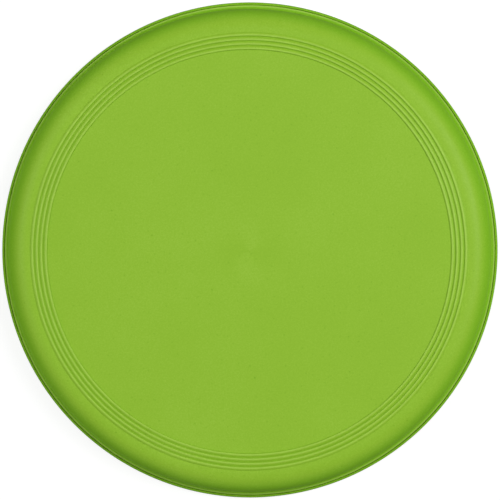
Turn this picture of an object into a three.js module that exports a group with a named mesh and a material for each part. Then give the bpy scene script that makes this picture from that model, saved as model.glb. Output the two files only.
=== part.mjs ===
// A plastic flying disc, lying the way it rests on the ground: a flight plate with raised ridges and a
// rounded shoulder, whose skirt stands in the groove of a rim ring.
// Millimetres, +Z up. The origin is on the disc's axis, at the surface that the foot rests on.

import * as THREE from 'three';

// Overall
const DISC_RADIUS = 115; // to the outside of the lip
const PLATE_TOP = 20.6; // height of the flat top
const SEGMENTS = 72; // facets around the axis
const JOINT_GAP = 0.3; // clearance between the two pieces

// Flight plate
const PLATE_THICKNESS = 1.8;
const RIDGE_COUNT = 4;
const RIDGE_PITCH = 2.05;
const RIDGE_INNER = 0.54; // from the crest to the inner foot, the steeper side
const RIDGE_OUTER = 1.4; // from the crest to the outer foot
const RIDGE_HEIGHT = 0.58;
const RIDGE_POWER = 1.7; // 2 is a parabola, and less is a sharper crest
const FIRST_RIDGE_RADIUS = 92.72; // crest of the innermost ridge
const SHOULDER_START = 100.9; // radius where the flat top starts to curve down
const SHOULDER_END = 7; // height where the shoulder ends and the skirt starts
const SHOULDER_POWER = 2.3; // 2 is an ellipse, and more is a squarer shoulder
const SKIRT_RADIUS = 111.5;
const SKIRT_THICKNESS = 2;
const LEDGE_TOP = 2.5; // narrow ledge around the skirt's foot
const LEDGE_FILLET = 1.4; // between the skirt and its ledge
const TONGUE_THICKNESS = 3.4; // of the skirt's foot, inside the groove

// Rim ring
const LIP_TOP = 2.4;
const LIP_WIDTH = 1.1; // outside the groove
const LIP_ROUNDING = 1; // across the curve outside the lip
const LIP_WIDEST = 0.9; // height where the lip reaches furthest out
const GROOVE_FLOOR = 1.2;
const BEAD_THICKNESS = 2.5;
const BEAD_TOP = 8.3;

// Where the two pieces meet
const GROOVE_OUTER = DISC_RADIUS - LIP_WIDTH;
const TONGUE_OUTER = GROOVE_OUTER - JOINT_GAP;
const TONGUE_INNER = TONGUE_OUTER - TONGUE_THICKNESS;
const GROOVE_INNER = TONGUE_INNER - JOINT_GAP;
const TONGUE_BOTTOM = GROOVE_FLOOR + JOINT_GAP;
const REBATE_TOP = BEAD_TOP + JOINT_GAP;

// The ring's plastic is a slightly deeper green
const PLATE_COLOUR = 0x8fbb3a;
const RING_COLOUR = 0x83b233;

/** Points of an ellipse's arc in the (radius, height) plane, with angles in degrees from +radius. */
function arc(centreR, centreZ, radiusR, radiusZ, fromDeg, toDeg, steps) {
  const points = [];
  for (let i = 0; i <= steps; i++) {
    const angle = THREE.MathUtils.degToRad(fromDeg + ((toDeg - fromDeg) * i) / steps);
    points.push([centreR + radiusR * Math.cos(angle), centreZ + radiusZ * Math.sin(angle)]);
  }
  return points;
}

/** One raised ridge, from its inner foot at -1, over its crest at 0, to its outer foot at 1. */
function ridge(crestRadius) {
  return [-1, -0.75, -0.4, 0, 0.35, 0.65, 0.85, 1].map((across) => [
    crestRadius + across * (across < 0 ? RIDGE_INNER : RIDGE_OUTER),
    PLATE_TOP + RIDGE_HEIGHT * (1 - Math.abs(across) ** RIDGE_POWER),
  ]);
}

/** Points of the shoulder's superellipse. Angles are in degrees: 0 is its top and 90 its outside. */
function shoulder(width, drop, fromDeg, toDeg, steps) {
  const points = [];
  for (let i = 0; i <= steps; i++) {
    const angle = THREE.MathUtils.degToRad(fromDeg + ((toDeg - fromDeg) * i) / steps);
    const out = Math.abs(Math.sin(angle)) ** (2 / SHOULDER_POWER);
    const up = Math.abs(Math.cos(angle)) ** (2 / SHOULDER_POWER);
    points.push([SHOULDER_START + width * out, SHOULDER_END + drop * up]);
  }
  return points;
}

/** Turns a profile of [radius, height] points, which runs clockwise, around the disc's axis. */
function revolve(profile) {
  const points = profile.map(([r, z]) => new THREE.Vector2(r, z)).reverse();
  return new THREE.LatheGeometry(points, SEGMENTS).rotateX(Math.PI / 2);
}

/** Flat top, ridges, shoulder, skirt and its ledge, then back up the inside to the axis. */
function flightPlate() {
  const width = SKIRT_RADIUS - SHOULDER_START;
  const drop = PLATE_TOP - SHOULDER_END;
  const innerWidth = width - SKIRT_THICKNESS;
  const innerDrop = drop - PLATE_THICKNESS;
  const filletR = SKIRT_RADIUS + LEDGE_FILLET;
  const rebateUp = (REBATE_TOP - SHOULDER_END) / innerDrop;
  const rebateDeg = THREE.MathUtils.radToDeg(Math.acos(rebateUp ** (SHOULDER_POWER / 2)));

  const profile = [[0, PLATE_TOP]];
  for (let i = 0; i < RIDGE_COUNT; i++) {
    profile.push(...ridge(FIRST_RIDGE_RADIUS + i * RIDGE_PITCH));
  }
  profile.push(
    ...shoulder(width, drop, 0, 90, 10),
    ...arc(filletR, LEDGE_TOP + LEDGE_FILLET, LEDGE_FILLET, LEDGE_FILLET, 180, 270, 3),
    [TONGUE_OUTER, LEDGE_TOP],
    [TONGUE_OUTER, TONGUE_BOTTOM],
    [TONGUE_INNER, TONGUE_BOTTOM],
    [TONGUE_INNER, REBATE_TOP],
    ...shoulder(innerWidth, innerDrop, rebateDeg, 0, 6),
    [0, PLATE_TOP - PLATE_THICKNESS],
  );
  return revolve(profile);
}

/** Foot, bead that fingers grip, groove for the skirt, and lip, as one closed profile. */
function rimRing() {
  const lipR = DISC_RADIUS - LIP_ROUNDING;
  const halfBead = BEAD_THICKNESS / 2;
  const beadR = GROOVE_INNER - halfBead;

  const profile = [
    ...arc(beadR, halfBead, halfBead, halfBead, 270, 180, 3),
    ...arc(beadR, BEAD_TOP - halfBead, halfBead, halfBead, 180, 0, 6),
    [GROOVE_INNER, GROOVE_FLOOR],
    [GROOVE_OUTER, GROOVE_FLOOR],
    [GROOVE_OUTER, LIP_TOP],
    ...arc(lipR, LIP_WIDEST, LIP_ROUNDING, LIP_TOP - LIP_WIDEST, 90, 0, 5),
    ...arc(lipR, LIP_WIDEST, LIP_ROUNDING, LIP_WIDEST, 0, -90, 4).slice(1),
    [beadR, 0],
  ];
  return revolve(profile);
}

function piece(name, geometry, color) {
  const material = new THREE.MeshStandardMaterial({ color, roughness: 0.5, metalness: 0 });
  const mesh = new THREE.Mesh(geometry, material);
  mesh.name = name;
  return mesh;
}

const disc = new THREE.Group();
disc.add(piece('flight_plate', flightPlate(), PLATE_COLOUR));
disc.add(piece('rim_ring', rimRing(), RING_COLOUR));

export default disc;
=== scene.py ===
"""A lime-green plastic flying disc seen from above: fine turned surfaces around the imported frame."""

import math
import bpy
import bmesh
from mathutils import Matrix, Vector


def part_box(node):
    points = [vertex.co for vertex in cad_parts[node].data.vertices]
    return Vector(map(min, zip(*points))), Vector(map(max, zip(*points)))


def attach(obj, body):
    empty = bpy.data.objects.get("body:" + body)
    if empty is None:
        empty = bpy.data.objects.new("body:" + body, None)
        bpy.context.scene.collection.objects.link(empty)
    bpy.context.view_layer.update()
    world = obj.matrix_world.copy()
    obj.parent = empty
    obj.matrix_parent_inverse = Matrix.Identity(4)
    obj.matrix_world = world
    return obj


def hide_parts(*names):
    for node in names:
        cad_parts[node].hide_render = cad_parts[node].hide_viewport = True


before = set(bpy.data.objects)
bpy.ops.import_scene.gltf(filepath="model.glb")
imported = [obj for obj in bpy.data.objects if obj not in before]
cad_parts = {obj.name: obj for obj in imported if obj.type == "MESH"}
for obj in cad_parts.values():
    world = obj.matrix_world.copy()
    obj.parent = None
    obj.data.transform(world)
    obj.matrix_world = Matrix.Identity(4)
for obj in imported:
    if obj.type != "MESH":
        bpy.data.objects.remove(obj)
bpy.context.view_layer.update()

MM = 0.001

# Steps around the axis and along the parts of each profile
TURN_STEPS = 400
DIMPLE_STEPS = 12
RIDGE_STEPS = 20
SHOULDER_STEPS = 48
INNER_SHOULDER_STEPS = 24
LEDGE_STEPS = 8
BEAD_FOOT_STEPS = 12
BEAD_TOP_STEPS = 24
LIP_TOP_STEPS = 16
LIP_FOOT_STEPS = 12
FLAT_RADII = range(10, 91, 10)  # in millimetres

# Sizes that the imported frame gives, in metres
plate_low, plate_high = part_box("flight_plate")
ring_low, ring_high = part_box("rim_ring")
DISC_RADIUS = ring_high[0]
BEAD_TOP = ring_high[2]
CREST_TOP = plate_high[2]
TONGUE_BOTTOM = plate_low[2]

# Flight plate
PLATE_THICKNESS = 1.8 * MM
RIDGE_COUNT = 4
RIDGE_PITCH = 2.05 * MM
RIDGE_INNER = 0.54 * MM  # from the crest to the inner foot, the steeper side
RIDGE_OUTER = 1.4 * MM  # from the crest to the outer foot
RIDGE_HEIGHT = 0.58 * MM
RIDGE_POWER = 1.7  # 2 is a parabola, and less is a sharper crest
RIDGE_CROWDING = 0.6  # less than 1 puts the points closer together towards the feet
FIRST_RIDGE_RADIUS = 92.72 * MM  # crest of the innermost ridge
PLATE_TOP = CREST_TOP - RIDGE_HEIGHT
SHOULDER_START = 100.9 * MM  # radius where the flat top starts to curve down
SHOULDER_END = 7 * MM  # height where the shoulder ends and the skirt starts
SHOULDER_POWER = 2.3  # 2 is an ellipse, and more is a squarer shoulder
SKIRT_RADIUS = 111.5 * MM  # outside of the skirt at its top
SKIRT_THICKNESS = 2 * MM
LEDGE_TOP = 2.5 * MM  # narrow ledge around the skirt's foot
LEDGE_FILLET = 1.4 * MM  # between the skirt and its ledge
LEDGE_EDGE = 0.35 * MM  # rounding of the ledge above the seam
TONGUE_THICKNESS = 3.4 * MM
TONGUE_OUTER = plate_high[0]

# Gate mark in the middle of the plate, above and below
GATE_RADIUS = 2.2 * MM
GATE_DEPTH = 0.06 * MM
GATE_RECESS_RADIUS = 6 * MM
GATE_RECESS_DEPTH = 0.5 * MM
GATE_STUB_RADIUS = 1.5 * MM
GATE_STUB_HEIGHT = 0.35 * MM
RECESS_DRAFT = 0.3 * MM  # how far the recess narrows upwards
STUB_DRAFT = 0.1 * MM  # how far the stub narrows downwards

# Rim ring
LIP_TOP = 2.4 * MM
LIP_ROUNDING = 1 * MM  # across the curve outside the lip
LIP_WIDEST = 0.9 * MM  # height where the lip reaches furthest out
GROOVE_FLOOR = 1.2 * MM
BEAD_THICKNESS = 2.5 * MM
JOINT_GAP = 0.3 * MM
SEAM_GAP = 0.25 * MM  # what shows of the joint at the lip
FILLET = 0.12 * MM  # rounding of the moulded edges
FOOT_FILLET = 0.04 * MM  # the sharper line at a ridge's foot

# Plastic, with colours in linear light
LIME = (0.247, 0.455, 0.0255)
LIME_SHADED_WALL = (0.198, 0.456, 0.0115)  # painted shade: a purer, less red green on the steep wall of the shoulder, standing for the colour of its shade
# Painted shade: the rim ring takes the same purer, less red green as the shaded wall, all over
LIME_SHADED_RING = (0.200, 0.455, 0.012)
# Serves both the random paler tone and the painted highlights on the crests and the ledge's edge
LIME_PALE = (0.40, 0.62, 0.10)
# Serves both the random darker tone and the painted shade in the ridge grooves
LIME_DEEP = (0.150, 0.330, 0.008)
WALL_START = 105 * MM  # radius where the wall's painted shade colour begins
WALL_FULL = 110 * MM
CLOUDING = 0.3  # from here to the groove shade: how far each one shifts the colour. The crest and edge highlights are painted highlights and the groove shade is painted shade
GRAIN = 0.85
GATE_MARKS = 0.07
SMALL_SPECKS = 0.3
LARGE_SPECKS = 0.55
# Painted highlight on the ridge crests
CREST_HIGHLIGHT = 0.45
# Painted highlight on the ledge's edge above the seam
EDGE_HIGHLIGHT = 0.7
# Painted shade in the grooves between the ridges
GROOVE_SHADE = 0.3
GROOVE_SHADE_EDGE = 0.3 * MM  # width over which the painted groove shade fades at either side of the ridges
GROOVE_SHADE_REACH = 0.45  # how far up a ridge the painted groove shade reaches, as a share of its height
CREST_HIGHLIGHT_REACH = 0.6  # where the crest's painted highlight begins, as a share of the same
MARK_TWIST = -0.1  # how the flow marks turn, in radians per millimetre
MARK_PHASE = 2.6
MARK_END = 20  # radius in millimetres where the flow marks have faded away
MARK_FULL = 7
ROUGHNESS = 0.36
DULL_PATCHES = 0.16  # the most that patches add to the roughness
WALL_DULLING = 0.45  # what the wall adds to it
CREST_POLISH = 0.08  # what the crests take off it
SPECULAR = 0.14
WAVE_HEIGHT = 0.10 * MM
TEXTURE_HEIGHT = 0.02 * MM

# Floor
FLOOR_SIZE = 6
FLOOR_GREY = 0.3
FLOOR_GLOW = 0.77  # brings the lit floor up to white
FLOOR_LIT = 0.3  # distance up to which the lamps light the floor evenly
FLOOR_DARK = 1.6  # distance where their light is gone

# Lamps: name, azimuth and elevation in degrees, distance in metres and power in watts
LAMPS = (
    ("key", 14, 48, 1.5, 14.2),
    ("fill", 172, 49, 1.5, 7.6),
    ("top", 55, 82, 1.6, 3.0),
)
LAMP_SIZE = 0.8
AMBIENT = 0.24

# Camera: how far it is tilted from straight down, and towards which direction, in degrees
CAMERA_DISTANCE = 1.2
CAMERA_TILT = 2.0
CAMERA_LEAN = 66
FRAME_WIDTH = 232.32 * MM  # what the picture shows of the floor's plane, side to side
CAMERA_AIM = (0.163 * MM, 0.283 * MM, 0)


# ---------------------------------------------------------------- shapes

def arc(centre, radii, start, end, steps):
    """Points of an ellipse's arc in the (radius, height) plane, with angles in degrees from +radius."""
    points = []
    for i in range(steps + 1):
        angle = math.radians(start + (end - start) * i / steps)
        points.append((centre[0] + radii[0] * math.cos(angle), centre[1] + radii[1] * math.sin(angle)))
    return points


def rounded(points, radius, steps=3):
    """The same path with each inner corner cut by a small curve that starts radius before it."""
    path = [points[0]]
    for before, corner, after in zip(points, points[1:], points[2:]):
        a, c, b = Vector(before), Vector(corner), Vector(after)
        start = c + (a - c).normalized() * min(radius, (a - c).length / 2)
        end = c + (b - c).normalized() * min(radius, (b - c).length / 2)
        for i in range(steps + 1):
            t = i / steps
            path.append(tuple(start * (1 - t) ** 2 + c * 2 * t * (1 - t) + end * t ** 2))
    path.append(points[-1])
    return path


def ridge(crest_radius):
    """A rounded crest whose flanks steepen down to the feet, with a fine fillet at each foot."""
    points = [(crest_radius - RIDGE_INNER - FOOT_FILLET, PLATE_TOP)]
    for i in range(RIDGE_STEPS + 1):
        across = 2 * i / RIDGE_STEPS - 1
        across = math.copysign(abs(across) ** RIDGE_CROWDING, across)
        half = RIDGE_INNER if across < 0 else RIDGE_OUTER
        rise = 1 - abs(across) ** RIDGE_POWER
        points.append((crest_radius + across * half, PLATE_TOP + rise * RIDGE_HEIGHT))
    points.append((crest_radius + RIDGE_OUTER + FOOT_FILLET, PLATE_TOP))
    return points


def shoulder(width, drop, start, end, steps):
    """Points of a superellipse between two angles in degrees, where 0 is the top and 90 the outside."""
    points = []
    for i in range(steps + 1):
        angle = math.radians(start + (end - start) * i / steps)
        out = abs(math.sin(angle)) ** (2 / SHOULDER_POWER)
        up = abs(math.cos(angle)) ** (2 / SHOULDER_POWER)
        points.append((SHOULDER_START + width * out, SHOULDER_END + drop * up))
    return points


def turned(name, profile, closed):
    """A body turned around Z from (radius, height) points. Unless closed, both ends are on the axis."""
    bm = bmesh.new()
    rings = []
    for radius, height in profile:
        if radius < 1e-9:
            rings.append([bm.verts.new((0, 0, height))])
            continue
        ring = []
        for i in range(TURN_STEPS):
            angle = 2 * math.pi * i / TURN_STEPS
            ring.append(bm.verts.new((radius * math.cos(angle), radius * math.sin(angle), height)))
        rings.append(ring)
    pairs = list(zip(rings, rings[1:]))
    if closed:
        pairs.append((rings[-1], rings[0]))
    for inner, outer in pairs:
        for i in range(TURN_STEPS):
            j = (i + 1) % TURN_STEPS
            if len(inner) == 1:
                bm.faces.new((inner[0], outer[i], outer[j]))
            elif len(outer) == 1:
                bm.faces.new((inner[i], outer[0], inner[j]))
            else:
                bm.faces.new((inner[i], outer[i], outer[j], inner[j]))
    bmesh.ops.recalc_face_normals(bm, faces=bm.faces)
    mesh = bpy.data.meshes.new(name)
    bm.to_mesh(mesh)
    bm.free()
    mesh.shade_smooth()
    piece = bpy.data.objects.new(name, mesh)
    bpy.context.scene.collection.objects.link(piece)
    return piece


def flight_plate():
    """Flat top with the gate mark, ridges, shoulder and skirt, then back up the inside to the axis."""
    width = SKIRT_RADIUS - SHOULDER_START
    drop = PLATE_TOP - SHOULDER_END
    inner_width = width - SKIRT_THICKNESS
    inner_drop = drop - PLATE_THICKNESS
    tongue_inner = TONGUE_OUTER - TONGUE_THICKNESS
    rebate_top = BEAD_TOP + JOINT_GAP
    rebate_up = (rebate_top - SHOULDER_END) / inner_drop
    rebate_angle = math.degrees(math.acos(rebate_up ** (SHOULDER_POWER / 2)))
    ceiling = PLATE_TOP - PLATE_THICKNESS

    profile = []
    for i in range(DIMPLE_STEPS + 1):
        out = i / DIMPLE_STEPS
        profile.append((out * GATE_RADIUS, PLATE_TOP - GATE_DEPTH * math.cos(out * math.pi / 2) ** 2))
    profile += [(r * MM, PLATE_TOP) for r in FLAT_RADII]
    for i in range(RIDGE_COUNT):
        profile += ridge(FIRST_RIDGE_RADIUS + i * RIDGE_PITCH)
    profile += shoulder(width, drop, 0, 90, SHOULDER_STEPS)
    fillet_centre = (SKIRT_RADIUS + LEDGE_FILLET, LEDGE_TOP + LEDGE_FILLET)
    profile += arc(fillet_centre, (LEDGE_FILLET, LEDGE_FILLET), 180, 270, LEDGE_STEPS)
    edge_centre = (TONGUE_OUTER - LEDGE_EDGE, LEDGE_TOP - LEDGE_EDGE)
    profile += arc(edge_centre, (LEDGE_EDGE, LEDGE_EDGE), 90, 0, LEDGE_STEPS)
    profile += rounded([
        (TONGUE_OUTER, LEDGE_TOP - LEDGE_EDGE - FILLET),
        (TONGUE_OUTER, TONGUE_BOTTOM),
        (tongue_inner, TONGUE_BOTTOM),
        (tongue_inner, rebate_top),
        shoulder(inner_width, inner_drop, rebate_angle, 0, 1)[0],
    ], FILLET)
    profile += shoulder(inner_width, inner_drop, rebate_angle, 0, INNER_SHOULDER_STEPS)[1:]
    profile += [(r * MM, ceiling) for r in reversed(FLAT_RADII)]
    profile += rounded([
        (GATE_RECESS_RADIUS + 1 * MM, ceiling),
        (GATE_RECESS_RADIUS, ceiling),
        (GATE_RECESS_RADIUS - RECESS_DRAFT, ceiling + GATE_RECESS_DEPTH),
        (GATE_STUB_RADIUS, ceiling + GATE_RECESS_DEPTH),
        (GATE_STUB_RADIUS - STUB_DRAFT, ceiling + GATE_RECESS_DEPTH - GATE_STUB_HEIGHT),
        (0, ceiling + GATE_RECESS_DEPTH - GATE_STUB_HEIGHT),
    ], FILLET)
    return turned("flight_plate_body", profile, closed=False)


def rim_ring():
    """Foot, lip, the groove that holds the skirt, and the bead that fingers grip."""
    groove_outer = TONGUE_OUTER + SEAM_GAP
    groove_inner = TONGUE_OUTER - TONGUE_THICKNESS - JOINT_GAP
    half_bead = BEAD_THICKNESS / 2
    bead = groove_inner - half_bead
    lip = DISC_RADIUS - LIP_ROUNDING
    profile = arc((bead, half_bead), (half_bead, half_bead), 270, 180, BEAD_FOOT_STEPS)
    profile += arc((bead, BEAD_TOP - half_bead), (half_bead, half_bead), 180, 0, BEAD_TOP_STEPS)
    profile += rounded([
        (groove_inner, BEAD_TOP - BEAD_THICKNESS),
        (groove_inner, GROOVE_FLOOR),
        (groove_outer, GROOVE_FLOOR),
        (groove_outer, LIP_TOP),
        (lip, LIP_TOP),
    ], FILLET)[:-1]
    profile += arc((lip, LIP_WIDEST), (LIP_ROUNDING, LIP_TOP - LIP_WIDEST), 90, 0, LIP_TOP_STEPS)
    profile += arc((lip, LIP_WIDEST), (LIP_ROUNDING, LIP_WIDEST), 0, -90, LIP_FOOT_STEPS)[1:]
    return turned("rim_ring_body", profile, closed=True)


# ---------------------------------------------------------------- materials

class Nodes:
    """Short calls for building one material's nodes."""

    def __init__(self, tree):
        self.tree = tree

    def link(self, value, socket):
        if isinstance(value, bpy.types.NodeSocket):
            self.tree.links.new(value, socket)
        else:
            socket.default_value = value

    def math(self, operation, a, b=0.0, clamp=False):
        node = self.tree.nodes.new("ShaderNodeMath")
        node.operation = operation
        node.use_clamp = clamp
        self.link(a, node.inputs[0])
        self.link(b, node.inputs[1])
        return node.outputs[0]

    def scaled(self, vector, factor):
        node = self.tree.nodes.new("ShaderNodeVectorMath")
        node.operation = "SCALE"
        self.link(vector, node.inputs["Vector"])
        self.link(factor, node.inputs["Scale"])
        return node.outputs[0]

    def noise(self, vector, scale, detail, roughness=0.5):
        """Noise from 0 to 1, about 0.5 on average. The scale is in features per millimetre."""
        node = self.tree.nodes.new("ShaderNodeTexNoise")
        self.link(vector, node.inputs["Vector"])
        node.inputs["Scale"].default_value = scale
        node.inputs["Detail"].default_value = detail
        node.inputs["Roughness"].default_value = roughness
        return node.outputs["Fac"]

    def remap(self, value, low, high, to_low=0.0, to_high=1.0):
        node = self.tree.nodes.new("ShaderNodeMapRange")
        node.interpolation_type = "SMOOTHSTEP"
        self.link(value, node.inputs["Value"])
        node.inputs["From Min"].default_value = low
        node.inputs["From Max"].default_value = high
        node.inputs["To Min"].default_value = to_low
        node.inputs["To Max"].default_value = to_high
        return node.outputs["Result"]

    def mix(self, factor, a, b):
        node = self.tree.nodes.new("ShaderNodeMix")
        node.data_type = "RGBA"
        self.link(factor, node.inputs["Factor"])
        self.link(a, node.inputs[6])
        self.link(b, node.inputs[7])
        return node.outputs[2]

    def bump(self, height, distance, normal=None):
        node = self.tree.nodes.new("ShaderNodeBump")
        self.link(height, node.inputs["Height"])
        node.inputs["Strength"].default_value = 1
        node.inputs["Distance"].default_value = distance
        if normal is not None:
            self.link(normal, node.inputs["Normal"])
        return node.outputs["Normal"]


def background_rays(n):
    """1 for the rays that show the background: the camera's, and those of reflections and glass."""
    path = n.tree.nodes.new("ShaderNodeLightPath")
    seen = n.math("ADD", path.outputs["Is Camera Ray"], path.outputs["Is Glossy Ray"])
    return n.math("ADD", seen, path.outputs["Is Transmission Ray"], clamp=True)


def speck_mask(n, place, spacing, radius, share):
    """1 on small round specks: one in each cell of about spacing, kept in that share of the cells."""
    cells = n.tree.nodes.new("ShaderNodeTexVoronoi")
    n.link(place, cells.inputs["Vector"])
    cells.inputs["Scale"].default_value = 1 / spacing
    cells.inputs["Randomness"].default_value = 1
    spot = n.remap(cells.outputs["Distance"], radius / spacing, 0.4 * radius / spacing)
    pick = n.tree.nodes.new("ShaderNodeSeparateColor")
    n.link(cells.outputs["Color"], pick.inputs[0])
    kept = n.math("LESS_THAN", pick.outputs[0], share)
    return n.math("MULTIPLY", spot, kept)


def moulded_plastic(name, top_colour, shaded_wall_colour):
    """Lime polypropylene: clouding, grain, dark specks, gate flow marks, painted shade and paler painted
    highlights.
    """
    material = bpy.data.materials.new(name)
    material.use_nodes = True
    n = Nodes(material.node_tree)
    shader = n.tree.nodes["Principled BSDF"]

    coordinates = n.tree.nodes.new("ShaderNodeTexCoord")
    place = n.scaled(coordinates.outputs["Object"], 1 / MM)
    parts = n.tree.nodes.new("ShaderNodeSeparateXYZ")
    n.link(place, parts.inputs[0])
    x, y, z = parts.outputs
    radius = n.math("SQRT", n.math("ADD", n.math("MULTIPLY", x, x), n.math("MULTIPLY", y, y)))
    angle = n.math("ARCTAN2", y, x)

    # Brightness: broad clouding, fine grain and specks
    clouds = n.noise(place, scale=0.022, detail=5, roughness=0.55)
    grain = n.noise(place, scale=1.4, detail=3, roughness=0.7)
    small_specks = speck_mask(n, place, spacing=2.6, radius=0.5, share=0.5)
    large_specks = speck_mask(n, place, spacing=9.0, radius=0.55, share=0.3)

    # Two pale and two dark flow marks that turn around the gate and fade away from it
    turn = n.math("ADD", n.math("MULTIPLY", angle, 2), n.math("MULTIPLY", radius, MARK_TWIST))
    swirl = n.math("SINE", n.math("ADD", turn, MARK_PHASE))
    near_gate = n.remap(radius, MARK_END, MARK_FULL)
    at_gate = n.math("MULTIPLY", swirl, near_gate)

    depth = n.math("MULTIPLY", n.math("SUBTRACT", clouds, 0.5), CLOUDING)
    depth = n.math("ADD", depth, n.math("MULTIPLY", n.math("SUBTRACT", grain, 0.5), GRAIN))
    depth = n.math("ADD", depth, n.math("MULTIPLY", at_gate, GATE_MARKS))
    depth = n.math("ADD", depth, n.math("MULTIPLY", small_specks, SMALL_SPECKS))
    depth = n.math("ADD", depth, n.math("MULTIPLY", large_specks, LARGE_SPECKS))
    darker = n.math("MAXIMUM", depth, 0)
    paler = n.math("MAXIMUM", n.math("MULTIPLY", depth, -1), 0)
    # Painted shade: towards the steep wall the colour turns to the purer, less red green of the shaded
    # plastic
    wall = n.remap(radius, WALL_START / MM, WALL_FULL / MM)
    colour = n.mix(wall, (*top_colour, 1), (*shaded_wall_colour, 1))
    colour = n.mix(darker, colour, (*LIME_DEEP, 1))
    colour = n.mix(paler, colour, (*LIME_PALE, 1))

    # Painted shade darkens the grooves between the ridges
    first_foot = (FIRST_RIDGE_RADIUS - RIDGE_INNER) / MM
    last_foot = first_foot + RIDGE_COUNT * RIDGE_PITCH / MM
    fade = GROOVE_SHADE_EDGE / MM
    past_first = n.remap(radius, first_foot - fade, first_foot)
    before_last = n.remap(radius, last_foot, last_foot - fade)
    in_band = n.math("MULTIPLY", past_first, before_last)
    low = n.remap(z, (PLATE_TOP + GROOVE_SHADE_REACH * RIDGE_HEIGHT) / MM, PLATE_TOP / MM)
    colour = n.mix(n.math("MULTIPLY", n.math("MULTIPLY", in_band, low), GROOVE_SHADE), colour, (*LIME_DEEP, 1))

    # Painted highlights make the ridge crests and the ledge's edge above the seam paler
    crest = n.remap(z, (PLATE_TOP + CREST_HIGHLIGHT_REACH * RIDGE_HEIGHT) / MM, CREST_TOP / MM)
    colour = n.mix(n.math("MULTIPLY", crest, CREST_HIGHLIGHT), colour, (*LIME_PALE, 1))
    from_edge = n.math("ABSOLUTE", n.math("SUBTRACT", radius, (TONGUE_OUTER - LEDGE_EDGE) / MM))
    edge = n.remap(from_edge, 2 * LEDGE_EDGE / MM, 0)
    colour = n.mix(n.math("MULTIPLY", edge, EDGE_HIGHLIGHT), colour, (*LIME_PALE, 1))
    n.link(colour, shader.inputs["Base Color"])

    # The wall is duller than the top, and the crests are smoother
    dull = n.noise(place, scale=0.25, detail=4, roughness=0.6)
    rough = n.math("ADD", ROUGHNESS, n.math("MULTIPLY", dull, DULL_PATCHES))
    rough = n.math("SUBTRACT", rough, n.math("MULTIPLY", crest, CREST_POLISH))
    rough = n.math("ADD", rough, n.math("MULTIPLY", wall, WALL_DULLING), clamp=True)
    n.link(rough, shader.inputs["Roughness"])
    shader.inputs["Specular IOR Level"].default_value = SPECULAR

    waves = n.bump(n.noise(place, scale=0.045, detail=1), WAVE_HEIGHT)
    texture = n.bump(n.noise(place, scale=1.6, detail=2), TEXTURE_HEIGHT, waves)
    n.link(texture, shader.inputs["Normal"])
    return material


def floor_material():
    """Floor that keeps the disc's shadow and shows white, also far off where the lamps don't reach."""
    material = bpy.data.materials.new("floor")
    material.use_nodes = True
    n = Nodes(material.node_tree)
    n.tree.nodes.remove(n.tree.nodes["Principled BSDF"])
    diffuse = n.tree.nodes.new("ShaderNodeBsdfDiffuse")
    diffuse.inputs["Color"].default_value = (FLOOR_GREY, FLOOR_GREY, FLOOR_GREY, 1)
    glow = n.tree.nodes.new("ShaderNodeEmission")
    coordinates = n.tree.nodes.new("ShaderNodeTexCoord")
    away = n.tree.nodes.new("ShaderNodeVectorMath")
    away.operation = "LENGTH"
    n.link(coordinates.outputs["Object"], away.inputs[0])
    white = n.remap(away.outputs["Value"], FLOOR_LIT, FLOOR_DARK, FLOOR_GLOW, 1.0)
    n.link(n.math("MULTIPLY", background_rays(n), white), glow.inputs["Strength"])
    both = n.tree.nodes.new("ShaderNodeAddShader")
    n.link(diffuse.outputs[0], both.inputs[0])
    n.link(glow.outputs[0], both.inputs[1])
    n.link(both.outputs[0], n.tree.nodes["Material Output"].inputs["Surface"])
    return material


# ---------------------------------------------------------------- the disc

plate = flight_plate()
plate.data.materials.append(moulded_plastic("plate_plastic", LIME, LIME_SHADED_WALL))
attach(plate, "root")
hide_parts("flight_plate")

ring = rim_ring()
ring.data.materials.append(moulded_plastic("rim_plastic", LIME_SHADED_RING, LIME_SHADED_RING))
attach(ring, "root")
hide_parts("rim_ring")


# ---------------------------------------------------------------- studio

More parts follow.
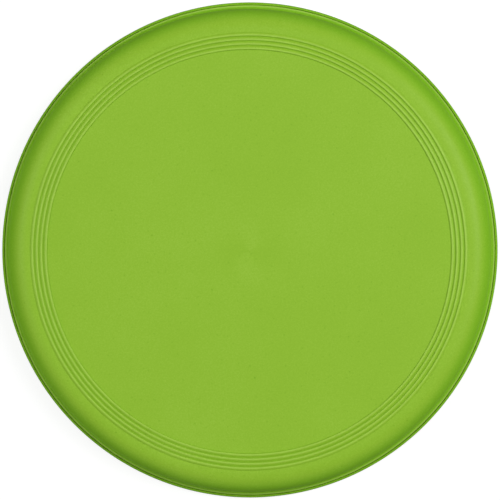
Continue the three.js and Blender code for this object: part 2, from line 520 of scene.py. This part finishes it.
def floor(size):
    mesh = bpy.data.meshes.new("floor")
    half = size / 2
    corners = [(-half, -half, 0), (half, -half, 0), (half, half, 0), (-half, half, 0)]
    mesh.from_pydata(corners, [], [(0, 1, 2, 3)])
    mesh.materials.append(floor_material())
    piece = bpy.data.objects.new("floor", mesh)
    bpy.context.scene.collection.objects.link(piece)


def soft_box(name, azimuth, elevation, distance, power):
    """A square area light aimed at the disc. Azimuth is in degrees from +X towards +Y."""
    light = bpy.data.lights.new(name, "AREA")
    light.shape = "SQUARE"
    light.size = LAMP_SIZE
    light.energy = power
    lamp = bpy.data.objects.new(name, light)
    a, e = math.radians(azimuth), math.radians(elevation)
    lamp.location = Vector((math.cos(e) * math.cos(a), math.cos(e) * math.sin(a), math.sin(e))) * distance
    lamp.rotation_euler = (-lamp.location).to_track_quat("-Z", "Y").to_euler()
    bpy.context.scene.collection.objects.link(lamp)


def studio_world(ambient):
    """White to the camera and in reflections, and a low even light on everything else."""
    world = bpy.data.worlds.new("studio")
    world.use_nodes = True
    n = Nodes(world.node_tree)
    background = n.tree.nodes["Background"]
    background.inputs["Color"].default_value = (1, 1, 1, 1)
    n.link(n.math("MAXIMUM", background_rays(n), ambient), background.inputs["Strength"])
    bpy.context.scene.world = world


def camera(distance, tilt, lean, frame_width, aim):
    """Looks almost straight down with +Y up in the picture, tilted towards the direction lean."""
    data = bpy.data.cameras.new("camera")
    data.lens = data.sensor_width * distance / frame_width
    piece = bpy.data.objects.new("camera", data)
    t, l = math.radians(tilt), math.radians(lean)
    back = Vector((math.sin(t) * math.cos(l), math.sin(t) * math.sin(l), math.cos(t)))
    right = Vector((0, 1, 0)).cross(back).normalized()
    piece.location = Vector(aim) + distance * back
    piece.rotation_euler = Matrix((right, back.cross(right), back)).transposed().to_euler()
    bpy.context.scene.collection.objects.link(piece)
    bpy.context.scene.camera = piece


floor(FLOOR_SIZE)
for lamp in LAMPS:
    soft_box(*lamp)
studio_world(AMBIENT)
camera(CAMERA_DISTANCE, CAMERA_TILT, CAMERA_LEAN, FRAME_WIDTH, CAMERA_AIM)
bpy.context.scene.view_settings.view_transform = "Standard"
